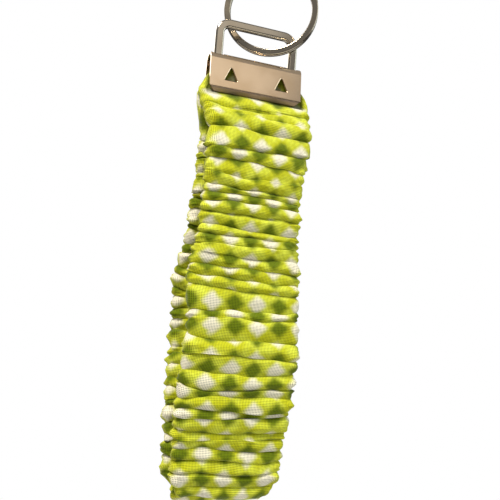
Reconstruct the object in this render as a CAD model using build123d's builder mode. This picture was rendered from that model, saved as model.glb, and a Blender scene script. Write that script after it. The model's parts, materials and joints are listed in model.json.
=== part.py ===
"""Elastic wristlet with a crimp-on clamp, a wire bail and a split ring, in millimetres.

The wristlet hangs from its split ring. The origin is the highest point inside the ring, where a hook
or a finger carries it. +Z is up, +X is to the wearer's right and -Y faces the front.

Split ring, bail and clamp are the metal end. A wide elastic inside a ruched tube of cotton makes the
loop: both ends are bitten between the clamp's two plates, and the loop hangs below them. The loop is
cut into the ends held by the clamp, the two legs and the fold at the bottom, so that it can bend at
the clamp's mouth and stretch.
"""

import os
from dataclasses import dataclass
from math import asin, cos, degrees, radians, sin, sqrt, tan

from build123d import *

# ---------------------------------------------------------------- driving dimensions

# Split ring: two turns of flattened wire.
RING_DIAMETER = 32.0
RING_WIRE_WIDTH = 2.1  # across the ring, in its plane
RING_WIRE_THICKNESS = 1.2  # along the ring's axis
RING_WIRE_ROUNDING = 0.35
RING_TURN_GAP = 0.06  # between the two turns
RING_TURNS = 2.0
RING_START = 50.0  # degrees from level to where the wire begins
RING_YAW = 24.0  # degrees that the ring is turned about the vertical, right side to the front

# Bail: one flattened wire, bent to a rectangle, its two ends meeting inside the clamp's fold.
BAIL_WIDTH = 29.2  # outside of one leg to the outside of the other
BAIL_WIRE_WIDTH = 2.9
BAIL_WIRE_DEPTH = 2.2
BAIL_WIRE_ROUNDING = 0.65
BAIL_CORNER = 5.0  # outer radius of the two upper corners
BAIL_FOOT_CORNER = 3.2  # outer radius of the two corners inside the clamp
BAIL_END_GAP = 0.8
BAIL_LIFT = 7.3  # from the lowest point inside the ring up to the top of the bail
BAIL_SHIFT = -4.3  # sideways from the ring's centre

# Clamp: one sheet folded over the bail, with teeth punched out of both plates.
CLAMP_WIDTH = 32.0
CLAMP_DROP = 12.3  # from the top of the bail down to the crest of the fold
CLAMP_HEIGHT = 11.9  # from the crest to the lip's bend
CLAMP_SHEET = 0.8
CLAMP_SPREAD = 5.3  # degrees that each plate leans out from the vertical
LIP_LENGTH = 0.9
LIP_TURN = 48.0  # degrees that the lip turns in from its plate
LIP_BEND_RADIUS = 0.9  # at the middle of the sheet
LIP_MITRE = 1.9  # cut off each end of a lip

# Teeth: a triangle is punched on three sides and bent in about its base.
WINDOW_WIDTH = 4.3
WINDOW_HEIGHT = 4.7
WINDOW_ROUNDING = 0.25
WINDOW_DEPTH = 4.8  # from the crest down to the point of the triangle
FRONT_WINDOW_PITCH = 17.7
TOOTH_REACH = 3.3
TOOTH_WIDTH = 3.3
TOOTH_THICKNESS = 0.6
TOOTH_LIFT = 8.0  # degrees that a tooth points up from level

# Swing of the clamp about the foot of the bail, in degrees; the slots are cut for it.
CLAMP_SWING_FORWARD = 12.0
CLAMP_SWING_BACK = 60.0

# Fabric tube and elastic.
COVER_WIDTH = 37.0
COVER_THICKNESS = 5.0  # both layers and the ruching of one leg
COVER_MOUTH_THICKNESS = 1.6  # of one leg where the lips squeeze it
ELASTIC_WIDTH = 25.4
ELASTIC_THICKNESS = 1.2
ELASTIC_MOUTH_THICKNESS = 1.0
CHANNEL_CLEARANCE = 0.2  # round the elastic inside the tube
SEAM_THREAD = 0.5  # square section of the tube's seam thread
SEAM_MOUTH_THREAD = 0.2  # its depth where the lips squeeze it
END_CORE_GAP = 0.1  # between the two ends in the clamp
BASTING_THREAD = 0.6
BASTING_COUNT = 7
BASTING_PITCH = 3.6
BASTING_DROP = 1.0  # below the top of the ends
BASTING_CLEARANCE = 0.02
END_WALL = 0.4  # of the tube, squeezed in the clamp
END_WIDTH = 34.0  # of the tube, where the clamp gathers it

# Loop, measured on the middle of the cloth.
LOOP_LENGTH = 126.6  # from the clamp's mouth down to the bottom of the fold
LOOP_HALF_GAP = 10.0  # at the widest
LOOP_WIDEST = 80.0  # from the mouth down to the widest
FOLD_RADIUS = 5.0
FOLD_HEIGHT = 28.0  # from the bottom of the loop up to where the fold meets the legs

# Clearances.
RUNNING_CLEARANCE = 0.35  # between bodies that move past each other
SEATING_CLEARANCE = 0.05  # between the squeezed cloth and the plates

# ---------------------------------------------------------------- places that follow

RING_MIDDLE_RADIUS = (RING_DIAMETER - RING_WIRE_WIDTH) / 2
RING_INSIDE_RADIUS = RING_DIAMETER / 2 - RING_WIRE_WIDTH
RING_PITCH = RING_WIRE_THICKNESS + RING_TURN_GAP
RING_CENTRE_Z = -RING_INSIDE_RADIUS

BAIL_TOP_Z = BAIL_LIFT - 2 * RING_INSIDE_RADIUS
BAIL_BAR_Z = BAIL_TOP_Z - BAIL_WIRE_WIDTH / 2  # axis of the upper bar
BAIL_WIRE_REACH = (
    sqrt((BAIL_WIRE_WIDTH / 2 - BAIL_WIRE_ROUNDING) ** 2 + (BAIL_WIRE_DEPTH / 2 - BAIL_WIRE_ROUNDING) ** 2)
    + BAIL_WIRE_ROUNDING
)  # from the wire's axis to its rounded corners
CREST_Z = BAIL_TOP_Z - CLAMP_DROP
CLAMP_FOLD_RADIUS = BAIL_WIRE_REACH + RUNNING_CLEARANCE  # inside the fold
FOLD_AXIS_Z = CREST_Z - CLAMP_SHEET - CLAMP_FOLD_RADIUS  # axis of the bail's foot
SHEET_MIDDLE_RADIUS = CLAMP_FOLD_RADIUS + CLAMP_SHEET / 2
LEG_MIDDLE_X = (BAIL_WIDTH - BAIL_WIRE_WIDTH) / 2

SPREAD = radians(CLAMP_SPREAD)
BEND_Z = CREST_Z - CLAMP_HEIGHT
PLATE_TOP_Z = FOLD_AXIS_Z + SHEET_MIDDLE_RADIUS * sin(SPREAD)
PLATE_LENGTH = (PLATE_TOP_Z - BEND_Z) / cos(SPREAD)
LIP_HEADING = radians(LIP_TURN - CLAMP_SPREAD)  # from straight down, towards the middle
LIP_TIP_Z = BEND_Z - LIP_BEND_RADIUS * (sin(SPREAD) + sin(LIP_HEADING)) - LIP_LENGTH * cos(LIP_HEADING)
LIP_TIP_Y = (
    SHEET_MIDDLE_RADIUS * cos(SPREAD)
    + PLATE_LENGTH * sin(SPREAD)
    - LIP_BEND_RADIUS * (cos(SPREAD) - cos(LIP_HEADING))
    - LIP_LENGTH * sin(LIP_HEADING)
)
LIP_HALF_GAP = LIP_TIP_Y - CLAMP_SHEET / 2  # from the middle plane to the rounded edge of a lip
WINDOW_BASE_Z = CREST_Z - WINDOW_DEPTH - WINDOW_HEIGHT
TOOTH_PLACES = ((-FRONT_WINDOW_PITCH / 2, -1), (FRONT_WINDOW_PITCH / 2, -1), (0, 1))  # x and plate
SLOT_LENGTH = 2 * (CLAMP_FOLD_RADIUS + CLAMP_SHEET)  # past the sheet, at any lean

MOUTH_Z = LIP_TIP_Z - CLAMP_SHEET / 2
WIDEST_Z = MOUTH_Z - LOOP_WIDEST
LOOP_BOTTOM_Z = MOUTH_Z - LOOP_LENGTH
FOLD_CENTRE_Z = LOOP_BOTTOM_Z + FOLD_RADIUS
FOLD_TOP_Z = LOOP_BOTTOM_Z + FOLD_HEIGHT

# The legs of the loop swing about a line just under the mouth, inside a rounded end.
COVER_MOUTH_HALF = LIP_HALF_GAP - SEATING_CLEARANCE
LOOP_MOUTH_HALF_GAP = COVER_MOUTH_HALF - COVER_MOUTH_THICKNESS / 2
SWING_RADIUS = COVER_MOUTH_HALF + 1.0
SWING_AXIS_Z = MOUTH_Z - SWING_RADIUS - RUNNING_CLEARANCE

LOOP_REACH = 4 * (LOOP_HALF_GAP + COVER_THICKNESS)  # wider than the loop is deep

# The ends of the loop stop short of the bail's foot.
END_TOP_Z = FOLD_AXIS_Z - BAIL_WIRE_REACH - RUNNING_CLEARANCE
BASTING_Z = END_TOP_Z - BASTING_DROP


def plate_inside(z):
    """Distance from the middle plane to the inner face of a plate at height z."""
    return CLAMP_FOLD_RADIUS / cos(SPREAD) + (FOLD_AXIS_Z - z) * tan(SPREAD)


BASTING_HALF_LENGTH = plate_inside(BASTING_Z) - SEATING_CLEARANCE


# ---------------------------------------------------------------- split ring

yaw = radians(RING_YAW)
start = radians(RING_START)
ring_plane = Plane(
    origin=(0, 0, RING_CENTRE_Z),
    x_dir=(cos(start) * cos(yaw), -cos(start) * sin(yaw), sin(start)),
    z_dir=(-sin(yaw), -cos(yaw), 0),
)

with BuildPart() as flat_ring:
    with BuildLine():
        coil = Helix(pitch=RING_PITCH, height=RING_PITCH * RING_TURNS, radius=RING_MIDDLE_RADIUS)
    with BuildSketch(Plane(origin=coil @ 0, x_dir=(1, 0, 0), z_dir=coil % 0)):
        RectangleRounded(RING_WIRE_WIDTH, RING_WIRE_THICKNESS, RING_WIRE_ROUNDING)
    sweep(path=coil, is_frenet=True)

split_ring = ring_plane.offset(-RING_PITCH * RING_TURNS / 2).location * flat_ring.part

# ---------------------------------------------------------------- bail

bail_plane = Plane.XZ.offset(0).shift_origin((BAIL_SHIFT, 0, 0))
with BuildPart() as bail:
    with BuildLine(bail_plane) as bail_line:
        top = BAIL_BAR_Z
        foot = FOLD_AXIS_Z
        half = BAIL_END_GAP / 2
        FilletPolyline(
            (half, foot),
            (LEG_MIDDLE_X, foot),
            (LEG_MIDDLE_X, top),
            (-LEG_MIDDLE_X, top),
            (-LEG_MIDDLE_X, foot),
            (-half, foot),
            radius=[
                BAIL_FOOT_CORNER - BAIL_WIRE_WIDTH / 2,
                BAIL_CORNER - BAIL_WIRE_WIDTH / 2,
                BAIL_CORNER - BAIL_WIRE_WIDTH / 2,
                BAIL_FOOT_CORNER - BAIL_WIRE_WIDTH / 2,
            ],
        )
    with BuildSketch(Plane(origin=bail_line.line @ 0, x_dir=(0, 0, 1), z_dir=bail_line.line % 0)):
        RectangleRounded(BAIL_WIRE_WIDTH, BAIL_WIRE_DEPTH, BAIL_WIRE_ROUNDING)
    sweep(path=bail_line.line)

# ---------------------------------------------------------------- clamp

side_plane = Plane.YZ.offset(BAIL_SHIFT)  # its x is the model's y, its y the model's z


def punch_window(x, plate):
    """Cuts one triangular window at x through a plate: plate -1 is the front, +1 the back."""
    with BuildSketch(bail_plane) as window:
        with Locations((x, WINDOW_BASE_Z)):
            Polygon(
                (-WINDOW_WIDTH / 2, 0), (WINDOW_WIDTH / 2, 0), (0, WINDOW_HEIGHT), align=None
            )
        fillet(window.vertices(), WINDOW_ROUNDING)
    through = plate_inside(BEND_Z) + 2 * CLAMP_SHEET
    extrude(window.sketch, amount=-plate * through, mode=Mode.SUBTRACT)


def bend_tooth(x, plate):
    """Adds the tooth of the window at x, bent in about the window's base."""
    base_y = plate * (plate_inside(WINDOW_BASE_Z) + CLAMP_SHEET / 2)
    tilt = radians(TOOTH_LIFT)
    tooth_plane = Plane(
        origin=(BAIL_SHIFT + x, base_y, WINDOW_BASE_Z - TOOTH_THICKNESS / 2),
        x_dir=(plate, 0, 0),
        z_dir=(0, plate * sin(tilt), cos(tilt)),
    )
    with BuildSketch(tooth_plane) as tooth:
        Polygon(
            (-TOOTH_WIDTH / 2, 0), (TOOTH_WIDTH / 2, 0), (0, -TOOTH_REACH - CLAMP_SHEET / 2), align=None
        )
    extrude(tooth.sketch, amount=TOOTH_THICKNESS / 2, both=True)


with BuildPart() as clamp_shell:
    with BuildSketch(side_plane):
        with BuildLine():
            fold = JernArc(
                (0, FOLD_AXIS_Z + SHEET_MIDDLE_RADIUS), (-1, 0), SHEET_MIDDLE_RADIUS, 90 - CLAMP_SPREAD
            )
            plate_line = PolarLine(fold @ 1, PLATE_LENGTH, direction=fold % 1)
            bend = JernArc(plate_line @ 1, plate_line % 1, LIP_BEND_RADIUS, LIP_TURN)
            PolarLine(bend @ 1, LIP_LENGTH, direction=bend % 1)
            offset(amount=CLAMP_SHEET / 2, side=Side.BOTH)
        make_face()
        mirror(about=Plane.YZ)
    extrude(amount=CLAMP_WIDTH / 2, both=True)
    # mitred lip ends
    with BuildSketch(bail_plane):
        for side in (-1, 1):
            Polygon(
                (side * (CLAMP_WIDTH / 2 + LIP_MITRE), BEND_Z + LIP_MITRE),
                (side * (CLAMP_WIDTH / 2 + LIP_MITRE), BEND_Z - 2 * LIP_MITRE),
                (side * (CLAMP_WIDTH / 2 - 2 * LIP_MITRE), BEND_Z - 2 * LIP_MITRE),
                align=None,
            )
    extrude(amount=CLAMP_WIDTH, both=True, mode=Mode.SUBTRACT)
    # slots through which the bail's legs come out, as far as the clamp swings
    for side in (-1, 1):
        with BuildSketch(side_plane.offset(side * LEG_MIDDLE_X)):
            with Locations((0, FOLD_AXIS_Z)):
                for lean in (CLAMP_SWING_FORWARD, -CLAMP_SWING_BACK):
                    with Locations(Rotation(0, 0, lean)):
                        Rectangle(
                            BAIL_WIRE_DEPTH + 2 * RUNNING_CLEARANCE,
                            SLOT_LENGTH,
                            align=(Align.CENTER, Align.MIN),
                        )
            make_hull()
        extrude(amount=BAIL_WIRE_WIDTH / 2 + RUNNING_CLEARANCE, both=True, mode=Mode.SUBTRACT)
    for x, plate in TOOTH_PLACES:
        punch_window(x, plate)
    for x, plate in TOOTH_PLACES:
        bend_tooth(x, plate)

# ---------------------------------------------------------------- fabric loop


@dataclass(frozen=True)
class Layer:
    """One layer of the cloth: how far its inner and outer faces lie from the cloth's middle."""

    inner: float
    outer: float
    mouth_inner: float
    mouth_outer: float


def centred_layer(thickness, mouth_thickness):
    """A layer that is centred on the middle of the cloth."""
    return Layer(-thickness / 2, thickness / 2, -mouth_thickness / 2, mouth_thickness / 2)


def half_loop_line(out, mouth_out):
    """Draws one side of the loop, out from its middle line, from the bottom up to the mouth.

    Three arcs meet tangentially: the fold, the flare up to the widest place, and the run in to the mouth.
    """
    drop = WIDEST_Z - FOLD_CENTRE_Z
    flare_radius = (LOOP_HALF_GAP**2 + drop**2 - FOLD_RADIUS**2) / (2 * (LOOP_HALF_GAP - FOLD_RADIUS))
    flare = degrees(asin(drop / (flare_radius - FOLD_RADIUS)))
    closing = LOOP_HALF_GAP + out - LOOP_MOUTH_HALF_GAP - mouth_out
    neck_radius = (closing**2 + LOOP_WIDEST**2) / (2 * closing)
    neck = degrees(asin(LOOP_WIDEST / neck_radius))
    bottom = JernArc((0, LOOP_BOTTOM_Z - out), (1, 0), FOLD_RADIUS + out, 90 - flare)
    side = JernArc(bottom @ 1, bottom % 1, flare_radius + out, flare)
    return bottom, JernArc(side @ 1, side % 1, neck_radius, neck)


def loop_band(layer, width, mode=Mode.ADD):
    """Makes the whole loop in one layer, width across, in the part that is being built."""
    with BuildSketch(side_plane) as profile:
        with BuildLine():
            outer_bottom, outer_neck = half_loop_line(layer.outer, layer.mouth_outer)
            inner_bottom, inner_neck = half_loop_line(layer.inner, layer.mouth_inner)
            Line(outer_bottom @ 0, inner_bottom @ 0)
            Line(outer_neck @ 1, inner_neck @ 1)
        make_face()
        mirror(about=Plane.YZ)
    extrude(profile.sketch, amount=width / 2, both=True, mode=mode)


def keep_leg(side):
    """Keeps one leg of the loop, whose top is rounded about the swing axis.

    Side -1 is the front leg and +1 the back.
    """
    with BuildSketch(side_plane) as kept:
        with Locations((0, SWING_AXIS_Z)):
            Circle(SWING_RADIUS)
        with Locations((0, FOLD_TOP_Z)):
            Rectangle(LOOP_REACH, SWING_AXIS_Z - FOLD_TOP_Z, align=(Align.CENTER, Align.MIN))
        with Locations((-side * LOOP_REACH / 2, FOLD_TOP_Z)):
            Rectangle(LOOP_REACH, LOOP_LENGTH, align=(Align.CENTER, Align.MIN), mode=Mode.SUBTRACT)
    extrude(kept.sketch, amount=COVER_WIDTH, both=True, mode=Mode.INTERSECT)


def keep_fold():
    """Keeps the fold at the bottom of the loop."""
    split(bisect_by=Plane.XY.offset(FOLD_TOP_Z), keep=Keep.BOTTOM)


COVER = centred_layer(COVER_THICKNESS, COVER_MOUTH_THICKNESS)
CHANNEL = centred_layer(
    ELASTIC_THICKNESS + 2 * CHANNEL_CLEARANCE, ELASTIC_MOUTH_THICKNESS + 2 * SEATING_CLEARANCE
)
ELASTIC = centred_layer(ELASTIC_THICKNESS, ELASTIC_MOUTH_THICKNESS)
SEAM = Layer(
    COVER.inner, COVER.inner + SEAM_THREAD, COVER.mouth_inner, COVER.mouth_inner + SEAM_MOUTH_THREAD
)
CHANNEL_WIDTH = ELASTIC_WIDTH + 2 * CHANNEL_CLEARANCE


def cover_band():
    """The ruched tube: hollow for the elastic, grooved inside the loop for the seam's thread."""
    loop_band(COVER, COVER_WIDTH)
    loop_band(CHANNEL, CHANNEL_WIDTH, Mode.SUBTRACT)
    loop_band(SEAM, SEAM_THREAD, Mode.SUBTRACT)


def elastic_band():
    """The elastic inside the tube."""
    loop_band(ELASTIC, ELASTIC_WIDTH)


def seam_band():
    """The thread of the tube's long seam."""
    loop_band(SEAM, SEAM_THREAD)


loop_parts = {}
for piece, make_band in (("cover", cover_band), ("elastic", elastic_band), ("seam_thread", seam_band)):
    for place, side in (("front", -1), ("back", 1)):
        with BuildPart() as leg:
            make_band()
            keep_leg(side)
        loop_parts[f"{piece}_{place}"] = leg.part
    with BuildPart() as fold_piece:
        make_band()
        keep_fold()
    loop_parts[f"{piece}_fold"] = fold_piece.part

# ---------------------------------------------------------------- ends held by the clamp


def end_block(inset, width, mode=Mode.ADD):
    """One end of the loop between a plate and the middle, inset from each face, before it is mirrored."""
    with BuildSketch(side_plane) as block:
        with BuildLine():
            near = END_CORE_GAP / 2 + inset
            far_top = plate_inside(END_TOP_Z) - SEATING_CLEARANCE - inset
            far_bottom = plate_inside(BEND_Z) - SEATING_CLEARANCE - inset
            lip_face = LIP_TIP_Y - CLAMP_SHEET / 2 * cos(LIP_HEADING) - SEATING_CLEARANCE - inset
            lip_edge = COVER_MOUTH_HALF - inset
            Polyline(
                (near, END_TOP_Z),
                (far_top, END_TOP_Z),
                (far_bottom, BEND_Z),
                (lip_face, LIP_TIP_Z + CLAMP_SHEET / 2 * sin(LIP_HEADING)),
                (lip_edge, LIP_TIP_Z),
                (lip_edge, MOUTH_Z),
                (near, MOUTH_Z),
                close=True,
            )
        make_face()
    extrude(block.sketch, amount=width / 2, both=True, mode=mode)


def basting_row(radius, mode=Mode.ADD):
    """The row of stitches through both ends, or the holes that they pass through."""
    with BuildSketch(bail_plane) as row:
        with Locations((0, BASTING_Z)):
            with GridLocations(BASTING_PITCH, 0, BASTING_COUNT, 1):
                Circle(radius)
    extrude(row.sketch, amount=BASTING_HALF_LENGTH, both=True, mode=mode)

with BuildPart() as cover_end:
    end_block(0, END_WIDTH)
    end_block(END_WALL, ELASTIC_WIDTH + 2 * CHANNEL_CLEARANCE, Mode.SUBTRACT)
    basting_row(BASTING_THREAD / 2 + BASTING_CLEARANCE, Mode.SUBTRACT)
with BuildPart() as elastic_end:
    end_block(END_WALL + SEATING_CLEARANCE, ELASTIC_WIDTH)
    basting_row(BASTING_THREAD / 2 + BASTING_CLEARANCE, Mode.SUBTRACT)

with BuildPart() as basting:
    basting_row(BASTING_THREAD / 2)

# ---------------------------------------------------------------- files

pieces = {
    "split_ring": split_ring,
    "bail": bail.part,
    "clamp_shell": clamp_shell.part,
    "cover_end_front": mirror(cover_end.part, about=Plane.XZ),
    "cover_end_back": cover_end.part,
    "elastic_end_front": mirror(elastic_end.part, about=Plane.XZ),
    "elastic_end_back": elastic_end.part,
    "basting_stitches": basting.part,
    **loop_parts,
}
os.makedirs("parts", exist_ok=True)
for name, piece in pieces.items():
    piece.label = name
    export_step(piece, f"parts/{name}.step")
    print(name, len(piece.solids()), round(piece.volume, 1), piece.is_valid)
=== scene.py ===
"""Looks of an elastic wristlet keychain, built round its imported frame, in metres.

A ruched cotton sleeve with an elastic inside makes the wrist loop. Both of its ends are bitten by a
bent metal clamp, which hangs from a wire bail and a split ring. Sizes below are in millimetres until
they are placed, and lengths along the loop are measured on the middle of the cloth.
"""

import json
import logging
import math
from dataclasses import dataclass, field
from enum import Enum
from typing import Sequence

import bmesh
import bpy
import numpy as np
from mathutils import Matrix, Quaternion, Vector, geometry, noise

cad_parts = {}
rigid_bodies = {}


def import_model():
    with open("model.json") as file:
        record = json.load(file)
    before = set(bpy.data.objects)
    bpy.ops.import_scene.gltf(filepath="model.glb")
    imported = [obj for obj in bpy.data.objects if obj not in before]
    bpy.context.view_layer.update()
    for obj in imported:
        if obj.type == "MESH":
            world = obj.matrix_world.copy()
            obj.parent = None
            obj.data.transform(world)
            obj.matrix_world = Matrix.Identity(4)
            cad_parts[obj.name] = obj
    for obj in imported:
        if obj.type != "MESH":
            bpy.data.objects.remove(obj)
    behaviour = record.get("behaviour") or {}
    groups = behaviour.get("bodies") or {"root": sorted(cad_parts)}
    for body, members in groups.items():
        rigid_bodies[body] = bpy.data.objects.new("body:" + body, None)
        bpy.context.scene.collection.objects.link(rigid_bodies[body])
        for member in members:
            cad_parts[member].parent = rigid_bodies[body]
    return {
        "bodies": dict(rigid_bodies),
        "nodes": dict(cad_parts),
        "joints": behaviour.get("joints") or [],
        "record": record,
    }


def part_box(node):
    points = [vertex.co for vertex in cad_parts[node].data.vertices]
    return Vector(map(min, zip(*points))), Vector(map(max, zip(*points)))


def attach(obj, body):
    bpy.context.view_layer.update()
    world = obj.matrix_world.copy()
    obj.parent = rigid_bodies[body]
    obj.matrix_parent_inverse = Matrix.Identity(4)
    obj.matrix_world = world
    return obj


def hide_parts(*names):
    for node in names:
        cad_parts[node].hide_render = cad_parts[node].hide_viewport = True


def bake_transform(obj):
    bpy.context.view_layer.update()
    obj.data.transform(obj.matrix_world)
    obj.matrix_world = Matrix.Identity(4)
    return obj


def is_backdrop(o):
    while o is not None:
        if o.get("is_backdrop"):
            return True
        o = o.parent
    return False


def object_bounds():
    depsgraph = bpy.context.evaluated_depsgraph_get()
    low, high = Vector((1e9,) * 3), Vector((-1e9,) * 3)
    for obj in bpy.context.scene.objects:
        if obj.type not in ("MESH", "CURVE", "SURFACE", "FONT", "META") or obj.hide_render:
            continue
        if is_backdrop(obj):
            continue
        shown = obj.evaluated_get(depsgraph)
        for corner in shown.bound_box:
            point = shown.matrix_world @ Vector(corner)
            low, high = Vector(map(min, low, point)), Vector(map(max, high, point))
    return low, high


log = logging.getLogger("wristlet")

MM = 0.001
Colour = tuple[float, float, float]


# ---------------------------------------------------------------- shader helpers


@dataclass
class ShaderTree:
    """A material's node tree, with short ways to add and join its nodes.

    Args:
        name: the material's name.
    """

    name: str
    material: bpy.types.Material = field(init=False)

    def __post_init__(self) -> None:
        """Makes the material and clears its tree."""
        self.material = bpy.data.materials.new(self.name)
        self.material.use_nodes = True
        self.material.node_tree.nodes.clear()

    def add(self, kind: str, **settings: object) -> bpy.types.Node:
        """Adds one node.

        Args:
            kind: the node's type, without its ShaderNode prefix.
            settings: the node's own properties.

        Returns:
            The new node.
        """
        node = self.material.node_tree.nodes.new("ShaderNode" + kind)
        for key, value in settings.items():
            setattr(node, key, value)
        return node

    def join(self, source: object, target: bpy.types.NodeSocket) -> None:
        """Joins a socket to a target, or sets the target's value when source is a number or colour."""
        if isinstance(source, bpy.types.NodeSocket):
            self.material.node_tree.links.new(source, target)
        else:
            target.default_value = source

    def math(self, operation: str, first: object, second: object = 0.0) -> object:
        """Adds a math node.

        Args:
            operation: the node's operation.
            first: the first value or socket.
            second: the second value or socket.

        Returns:
            The result's socket.
        """
        node = self.add("Math", operation=operation)
        for socket, value in zip(node.inputs, (first, second)):
            self.join(value, socket)
        return node.outputs[0]

    def ramp(
        self, value: object, low: float, high: float, to_low: float = 0.0, to_high: float = 1.0
    ) -> object:
        """Maps a value smoothly from one range to another.

        Args:
            value: the socket to map.
            low: the value that gives to_low.
            high: the value that gives to_high.
            to_low: the lowest result.
            to_high: the highest result.

        Returns:
            The result's socket.
        """
        node = self.add("MapRange", interpolation_type="SMOOTHSTEP")
        for key, given in (("Value", value), ("From Min", low), ("From Max", high)):
            self.join(given, node.inputs[key])
        node.inputs["To Min"].default_value = to_low
        node.inputs["To Max"].default_value = to_high
        return node.outputs[0]

    def mix(self, factor: object, first: object, second: object, blend: str = "MIX") -> object:
        """Mixes two colours.

        Args:
            factor: the share of the second colour.
            first: a colour or a colour socket.
            second: a colour or a colour socket.
            blend: the way in which they are mixed.

        Returns:
            The mixed colour's socket.
        """
        node = self.add("Mix", data_type="RGBA", blend_type=blend)
        self.join(factor, node.inputs[0])
        for socket, value in ((node.inputs[6], first), (node.inputs[7], second)):
            self.join((*value, 1.0) if isinstance(value, tuple) else value, socket)
        return node.outputs[2]

    def noise(self, vector: object, scale: float, detail: float = 3.0, rough: float = 0.55) -> object:
        """Adds a noise texture.

        Args:
            vector: the coordinates that it reads.
            scale: its scale, in features per metre.
            detail: how many octaves it has.
            rough: how strong the finer octaves are.

        Returns:
            The noise's value, from 0 to 1.
        """
        node = self.add("TexNoise")
        self.join(vector, node.inputs["Vector"])
        node.inputs["Scale"].default_value = scale
        node.inputs["Detail"].default_value = detail
        node.inputs["Roughness"].default_value = rough
        return node.outputs[0]

    def stretched(self, vector: object, scale: tuple[float, float, float]) -> object:
        """Scales coordinates by axis, and returns the new coordinates."""
        node = self.add("Mapping")
        self.join(vector, node.inputs["Vector"])
        node.inputs["Scale"].default_value = scale
        return node.outputs[0]

    def bump(self, height: object, distance: float, strength: float, below: object = None) -> object:
        """Adds a bump node.

        Args:
            height: the socket that gives the height.
            distance: the height of 1, in metres.
            strength: how strong the bump is.
            below: the normal of another bump under this one.

        Returns:
            The bumped normal.
        """
        node = self.add("Bump")
        self.join(height, node.inputs["Height"])
        node.inputs["Distance"].default_value = distance
        node.inputs["Strength"].default_value = strength
        if below is not None:
            self.join(below, node.inputs["Normal"])
        return node.outputs[0]

    def finish(self, sockets: dict[str, object]) -> bpy.types.Material:
        """Adds the surface shader and the output.

        Args:
            sockets: values or sockets for the shader's inputs, by name.

        Returns:
            The finished material.
        """
        shader = self.add("BsdfPrincipled")
        for key, value in sockets.items():
            self.join((*value, 1.0) if isinstance(value, tuple) else value, shader.inputs[key])
        output = self.add("OutputMaterial")
        self.join(shader.outputs[0], output.inputs[0])
        return self.material


# ---------------------------------------------------------------- finishes


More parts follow.
